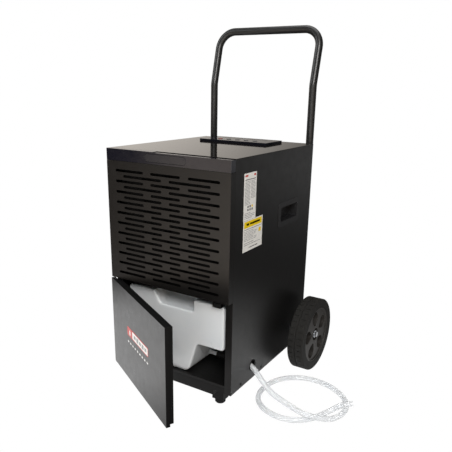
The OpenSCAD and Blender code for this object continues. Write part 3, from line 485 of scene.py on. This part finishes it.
# Width in millimetres of each part's rounded edges
EDGES = {
    "left_side_panel": 1.1, "right_side_panel": 1.1, "top_cover": 1.0, "rear_panel": 0.4,
    "base_chassis": 0.6, "tank_tray": 0.8, "exhaust_guard": 0.5, "bay_partition": 0.3,
    "deck_plate": 0.3, "hinge_bracket": 0.4, "magnet_catch": 0.8, "foot_brackets": 1.0,
    "handle_clamps": 1.2, "cable_gland": 0.6, "left_grip": 1.0, "right_grip": 1.0,
    "drain_coupling": 0.7, "hose_grommet": 0.7, "casing_screws": 0.25,
    "axle_bolts": 0.6, "front_trim": 1.0, "display_window": 0.3, "louvre_panel": 0.35}
# Parts with a finish of their own inside their slot. The louvre panel's is a darker copy of the cabinet
# paint: painted shade on the front.
FINISHES = {"base_chassis": "frame_paint", "foot_brackets": "frame_paint", "hinge_bracket": "frame_paint",
            "left_grip": "grip_plastic", "right_grip": "grip_plastic", "louvre_panel": "front_paint_shaded",
            "air_filter": "filter_netting"}

for part, width in EDGES.items():
    soften(part, width * MM, material=MATERIALS.get(FINISHES.get(part)))

for node, obj in frame["nodes"].items():
    obj.data.materials.clear()
    obj.data.materials.append(MATERIALS[FINISHES.get(node, SLOT_OF[node])])

# ---------- door ----------

DOOR_OPEN = math.radians(29)
HINGE = Vector((-half_w + 4.5 * MM, face_y + 5.5 * MM, 0))    # the pins' axis
DOOR_FACE = -7.5 * MM                                         # the door's outside, from that axis
SWING = Matrix.Rotation(-DOOR_OPEN, 3, "Z")
FACES_AHEAD = 0.8                                             # cosine from which a face counts as outside


def make_door():
    """The door's outside is smooth paint; its folded edges take a darker, duller copy of that paint, which is
    painted shade.
    """
    skin = soften("door_skin", 0.9 * MM, 3, [MATERIALS["door_paint"], MATERIALS["door_edge_shaded"]])
    ahead = SWING @ Vector((0, -1, 0))
    for face in skin.data.polygons:
        face.material_index = 0 if face.normal.dot(ahead) > FACES_AHEAD else 1


make_door()
# The liner takes the darker copy of the door's paint too: painted shade along the door's edge.
soften("door_liner", 1.6 * MM, 3, MATERIALS["door_edge_shaded"])

# ---------- handle ----------


def bend(points, radii, steps):
    """The polyline with each inner corner rounded by an arc of its radius."""
    line = [points[0]]
    for a, b, c, r in zip(points, points[1:], points[2:], radii):
        into, out = (b - a).normalized(), (c - b).normalized()
        turn = into.angle(out)
        reach = r * math.tan(turn / 2)
        start = b - into * reach
        centre = start + r * (out - into * into.dot(out)).normalized()
        arm = start - centre
        for k in range(steps + 1):
            t = turn * k / steps
            line.append(centre + arm * math.cos(t) + into * r * math.sin(t))
    return line + [points[-1]]


TUBE_RADIUS = 11.1 * MM
LEAN, LEAN_LENGTH = math.radians(13.6), 162 * MM    # the upper part leans back
KNEE_HEIGHT = 786 * MM                              # above the cabinet's lower edge
KNEE_BEND, TOP_BEND = 60 * MM, 52 * MM              # centre line radii
TUBE_SIDES, BEND_STEPS = 40, 14


def make_handle():
    lo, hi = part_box("push_handle")
    leg_x, leg_y, knee_z = hi.x - TUBE_RADIUS, lo.y + TUBE_RADIUS, base_z + KNEE_HEIGHT
    top = Vector((0, leg_y + LEAN_LENGTH * math.sin(LEAN), knee_z + LEAN_LENGTH * math.cos(LEAN)))
    corners = [Vector((-leg_x, leg_y, lo.z)), Vector((-leg_x, leg_y, knee_z)), top + Vector((-leg_x, 0, 0)),
               top + Vector((leg_x, 0, 0)), Vector((leg_x, leg_y, knee_z)), Vector((leg_x, leg_y, lo.z))]
    line = bend(corners, [KNEE_BEND, TOP_BEND, TOP_BEND, KNEE_BEND], BEND_STEPS)
    bm = bmesh.new()
    swept(bm, line, TUBE_RADIUS, TUBE_SIDES, Vector((0.02, 1, 0.05)))
    add_mesh("handle_tube", bm, MATERIALS["handle_paint"], "root", ["push_handle"])


make_handle()

# ---------- tank ----------


def make_tank():
    """Blow-moulded shell: a blocky body run through a fine remesh and smoothed, so every edge is soft."""
    obj = frame["nodes"]["water_tank"]
    bm = bmesh.new()
    bm.from_mesh(obj.data)
    bmesh.ops.remove_doubles(bm, verts=bm.verts, dist=WELD)
    tank = add_mesh("tank_shell", bm, MATERIALS["tank_plastic"], "root", ["water_tank"])
    remesh = tank.modifiers.new("blow_mould", "REMESH")
    remesh.mode = "VOXEL"
    remesh.voxel_size = 1.5 * MM
    remesh.use_smooth_shade = True
    smooth = tank.modifiers.new("soft_edges", "SMOOTH")
    smooth.iterations = 60
    smooth.factor = 0.5


make_tank()

# ---------- wheels ----------

for side in ("left", "right"):
    soften(side + "_wheel", 1.2 * MM, 3)
    soften(side + "_tyre", 0.8 * MM, 2)
soften("front_feet", 1.0 * MM, 3)

# ---------- stickers and control plate ----------


def slab(bm, lo, hi, material_index=0):
    """A plain thin block, such as a patch of printed ink."""
    known = set(bm.faces)
    made = bmesh.ops.create_cube(bm, size=1)["verts"]
    lo, hi = Vector(lo), Vector(hi)
    for v in made:
        v.co = Vector([c * d for c, d in zip(v.co, hi - lo)]) + (hi + lo) / 2
    for face in set(bm.faces) - known:
        face.material_index = material_index


INK = 0.06 * MM    # how far print stands off its film


def make_sticker(node, patches, inks):
    """Film with softened edges and patches of ink. A patch is (left, low, right, high, ink), in shares of
    the film's width and height, and ink counts along inks."""
    lo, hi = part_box(node)
    soften(node, 0.12 * MM)
    bm = bmesh.new()
    for left, low, right, high, ink in patches:
        slab(bm, (hi.x, lo.y + left * (hi.y - lo.y), lo.z + low * (hi.z - lo.z)),
             (hi.x + INK, lo.y + right * (hi.y - lo.y), lo.z + high * (hi.z - lo.z)), ink)
    add_mesh(node + "_print", bm, inks, BODY_OF[node], smooth=False)


def text_lines(left, right, high, low, rows, ink, thick=0.35):
    """Rows of short bars of uneven length that read as small print."""
    patches = []
    for i in range(rows):
        y = high - (high - low) * (i + 0.5) / rows
        half = (high - low) / rows * thick / 2
        x, k = left, 0
        while x < right - 0.03:
            word = 0.05 + 0.035 * ((i * 7 + k * 5) % 4)
            end = min(x + word, right)
            patches.append((x, y - half, end, y + half, ink))
            x, k = end + 0.022, k + 1
            if k > 3 + (i * 3) % 4:
                break
    return patches


RATING = ([(0.08, 0.925, 0.30, 0.965, 2), (0.78, 0.925, 0.93, 0.965, 2), (0.08, 0.855, 0.93, 0.872, 0)]
          + text_lines(0.08, 0.50, 0.84, 0.33, 17, 1, 0.42) + text_lines(0.56, 0.93, 0.84, 0.45, 13, 1, 0.42)
          + [(0.30 + 0.17 * k, 0.20 + 0.065 * r, 0.40 + 0.17 * k, 0.245 + 0.065 * r, 3 if k + r == 3 else 0)
             for k in range(3) for r in range(2)]
          + text_lines(0.08, 0.93, 0.17, 0.03, 4, 1, 0.35))
NOTICE = ([(0.04, 0.76, 0.96, 0.965, 3), (0.16, 0.83, 0.28, 0.90, 0), (0.34, 0.835, 0.86, 0.895, 0),
           (0.05, 0.70, 0.95, 0.715, 0), (0.80, 0.50, 0.92, 0.63, 3)]
          + text_lines(0.05, 0.72, 0.67, 0.33, 7, 1) + text_lines(0.05, 0.93, 0.30, 0.18, 2, 1)
          + text_lines(0.30, 0.75, 0.14, 0.06, 1, 0))
make_sticker("rating_label", RATING, [INK_DARK, INK_GREY, INK_RED, INK_YELLOW])
make_sticker("notice_label", NOTICE, [INK_DARK, INK_GREY, INK_RED, INK_YELLOW])


def rounded_outline(cx, cy, w, h, r, steps=6):
    """Points round a rectangle with corners of radius r, anticlockwise."""
    points = []
    for sx, sy, a in ((1, 1, 0), (-1, 1, 90), (-1, -1, 180), (1, -1, 270)):
        for k in range(steps + 1):
            t = math.radians(a + 90 * k / steps)
            points.append((cx + sx * (w / 2 - r) + r * math.cos(t), cy + sy * (h / 2 - r) + r * math.sin(t)))
    return points


KEYS = ("power", "mode", "up", "down", "timer")
READOUT = (149 * MM, 21 * MM, 3.6 * MM)    # width, depth and corner radius
READOUT_BEHIND = 26 * MM                   # from the control plate's middle


def make_controls():
    soften("control_plate", 0.8 * MM, 3)
    for key in KEYS:
        soften(key + "_button", 0.7 * MM, 3)
    lo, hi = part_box("control_plate")
    cx, cy = (lo.x + hi.x) / 2, (lo.y + hi.y) / 2 + READOUT_BEHIND
    floor = hi.z - 0.25 * MM    # the read-out's glass lies a little sunk
    outline = rounded_outline(cx, cy, *READOUT)
    bm = bmesh.new()
    prism(bm, [(x, y, hi.z - 0.8 * MM) for x, y in outline], [(x, y, floor) for x, y in outline])
    bmesh.ops.bevel(bm, geom=sharp_edges(bm), offset=0.15 * MM, segments=2, affect="EDGES", profile=0.5)
    add_mesh("readout_glass", bm, MATERIALS["display_plastic"], "root")
    bm = bmesh.new()
    seg, bar = 5.0 * MM, 0.9 * MM    # length and width of a digit's bars
    for digit in (-9 * MM, 1 * MM):
        x = cx + digit
        for row in (-1, 0, 1):
            slab(bm, (x, cy + row * seg - bar / 2, floor), (x + seg, cy + row * seg + bar / 2, floor + INK))
        for col, row in ((0, 0), (1, 0), (0, -1), (1, -1)):
            slab(bm, (x + col * seg - bar / 2, cy + row * seg + bar, floor),
                 (x + col * seg + bar / 2, cy + (row + 1) * seg - bar, floor + INK))
    for i, key in enumerate(KEYS):
        spot = middle(key + "_button")
        y = spot.y + 14 * MM
        slab(bm, (spot.x - 4 * MM, y, hi.z), (spot.x + 4 * MM, y + 0.8 * MM, hi.z + INK))
        slab(bm, (spot.x - 0.4 * MM, y + 2 * MM, hi.z), (spot.x + 0.4 * MM, y + (4 + i % 2) * MM, hi.z + INK))
    add_mesh("control_print", bm, INK_PALE, "root", smooth=False)


make_controls()

# ---------- door badge ----------

BADGE_X, BADGE_Z = 190 * MM, base_z + 148 * MM    # its middle: from the hinge's axis and the floor


def on_door(x, out, z):
    """A point of the open door: x from the hinge's axis, out in front of its face, z from the floor."""
    return HINGE + SWING @ Vector((x, DOOR_FACE - out, z))


def make_badge():
    """A two-tone plate with a drop on it, over a row of short bars, a mark of nobody's."""

    def patch(x, z, w, h, r):
        return rounded_outline(x * MM, z * MM, w * MM, h * MM, r * MM)

    drop = []
    for k in range(40):
        t = 2 * math.pi * k / 40
        drop.append((6.5 * MM * math.sin(t) * math.sin(t / 2) ** 1.5 - 55 * MM, 9 * MM * math.cos(t)))
    red, white, grey = range(3)
    shapes = [(patch(0, 0, 150, 25, 3), 0.30, red), (patch(18, 0, 110, 20, 2), 0.42, white),
              (drop, 0.42, white)]
    shapes += [(patch(-18 + 19 * k, 0, 13, 9 + 3 * (k % 2), 1.5), 0.50, grey) for k in range(5)]
    shapes += [(patch(-68 + 17 * k, -31, 8, 5, 1), 0.30, white) for k in range(9)]
    bm = bmesh.new()
    for outline, height, ink in shapes:
        prism(bm, *([on_door(BADGE_X + x, out, BADGE_Z + z) for x, z in outline] for out in (0, height * MM)),
              material_index=ink)
    bmesh.ops.recalc_face_normals(bm, faces=bm.faces)
    add_mesh("door_badge", bm, [INK_RED, MATERIALS["label_white"], INK_GREY], "door",
             smooth=False)


make_badge()

# ---------- stage and light ----------


FLOOR_REACH = 9.0
# Pools of painted light in the floor's glow: centre, full within, nothing beyond, level
POOLS = (((-0.48, -0.20, 0), 0.28, 0.66, 1.15), ((0.42, 0.12, 0), 0.05, 0.65, 0.85))


def make_stage():
    """White paper under the machine. To the viewer it is plain white; to all other rays it glows with painted
    light, which the paint mirrors and which lights the machine: bright close to the machine, warm straight
    ahead and dark further out."""
    bm = bmesh.new()
    bm.faces.new([bm.verts.new((x * FLOOR_REACH, y * FLOOR_REACH, 0))
                  for x, y in ((-1, -1), (1, -1), (1, 1), (-1, 1))])
    mesh = bpy.data.meshes.new("floor")
    bm.to_mesh(mesh)
    bm.free()
    n = Nodes("floor_paper")
    split = n.add("ShaderNodeSeparateXYZ", Vector=n.coords)
    x, y = split.outputs["X"], split.outputs["Y"]

    def pool(centre, inner, outer, level):
        """Light of that level within inner of centre, fading to nothing at outer."""
        return n.ramp(n.vector_math("DISTANCE", n.coords, centre, "Value"), inner, outer, level, 0.0)

    # The glow that all rays but the viewer's meet is painted light: a warm patch straight ahead, pools close
    # to the machine and a pale stretch behind on the right, over a dark grey floor.
    ahead = n.math("SUBTRACT", x, n.math("MULTIPLY", y, 0.8))
    warm = n.math("MULTIPLY", n.ramp(ahead, -0.25, 0.4, 0.0, 0.9), n.ramp(y, -0.35, -0.75, 0.0, 1.0))
    behind = n.math("MULTIPLY", n.ramp(y, 1.2, 4.4, 0.0, 0.38), n.ramp(x, 0.0, 1.0, 0.0, 1.0))
    near = n.math("ADD", *(pool(*p) for p in POOLS))
    pale = n.math("ADD", near, behind)
    glow = n.mix(warm, rgba(0.02, 0.02, 0.02), rgba(1.50, 1.29, 1.10))
    grey = n.add("ShaderNodeCombineXYZ", X=pale, Y=pale, Z=pale).outputs["Vector"]
    seen = n.seen()
    n.set(Base_Color=n.mix(seen, rgba(0.06, 0.06, 0.06), rgba(0, 0, 0)), Roughness=0.9)
    n.set(Emission_Color=n.mix(seen, n.vector_math("ADD", glow, grey), rgba(1, 1, 1)), Emission_Strength=1.0)
    n.set(Specular_IOR_Level=0.0)
    mesh.materials.append(n.mat)
    floor = bpy.data.objects.new("floor", mesh)
    bpy.context.scene.collection.objects.link(floor)


def make_world():
    """Bright behind the machine on the left, dim elsewhere; the viewer sees plain white."""
    world = bpy.data.worlds.new("studio")
    world.use_nodes = True
    n = Tree(world.node_tree, "Generated")
    split = n.add("ShaderNodeSeparateXYZ", Vector=n.coords)
    slant = n.math("ADD", n.math("MULTIPLY", split.outputs["X"], -2.0), split.outputs["Y"])
    level = n.ramp(slant, 1.62, 2.06, 0.09, 0.82)
    seen = n.seen()
    background = n.tree.nodes["Background"]
    n.put(background.inputs["Strength"], n.math("MAXIMUM", level, seen))
    n.put(background.inputs["Color"], n.mix(seen, rgba(1.0, 0.93, 0.85), rgba(1, 1, 1)))
    bpy.context.scene.world = world


def add_light(name, place, target, size, power, colour=(1, 1, 1)):
    """A soft panel of that size at place, turned to target."""
    data = bpy.data.lights.new(name, "AREA")
    data.shape = "RECTANGLE"
    data.size, data.size_y = size
    data.energy = power
    data.color = colour
    light = bpy.data.objects.new(name, data)
    light.location = place
    light.rotation_euler = (Vector(target) - Vector(place)).to_track_quat("-Z", "Y").to_euler()
    bpy.context.scene.collection.objects.link(light)


def make_light():
    view = bpy.context.scene.view_settings
    view.view_transform = "Standard"
    view.look = "None"
    add_light("key", (1.5, -2.0, 2.2), (0, 0, 0.35), (1.2, 1.2), 62, (1.0, 0.98, 0.96))
    add_light("fill", (-2.2, -1.4, 2.2), (0, 0, 0.4), (1.2, 1.2), 20, (0.94, 0.97, 1.0))
    add_light("top", (0, 0.5, 3.0), (0, 0, 0.4), (2.0, 2.0), 30)
    add_light("bay", (0.25, -1.7, 0.45), (-0.05, -0.1, 0.25), (0.8, 0.5), 5, (0.90, 0.96, 1.0))


make_stage()
make_world()
make_light()
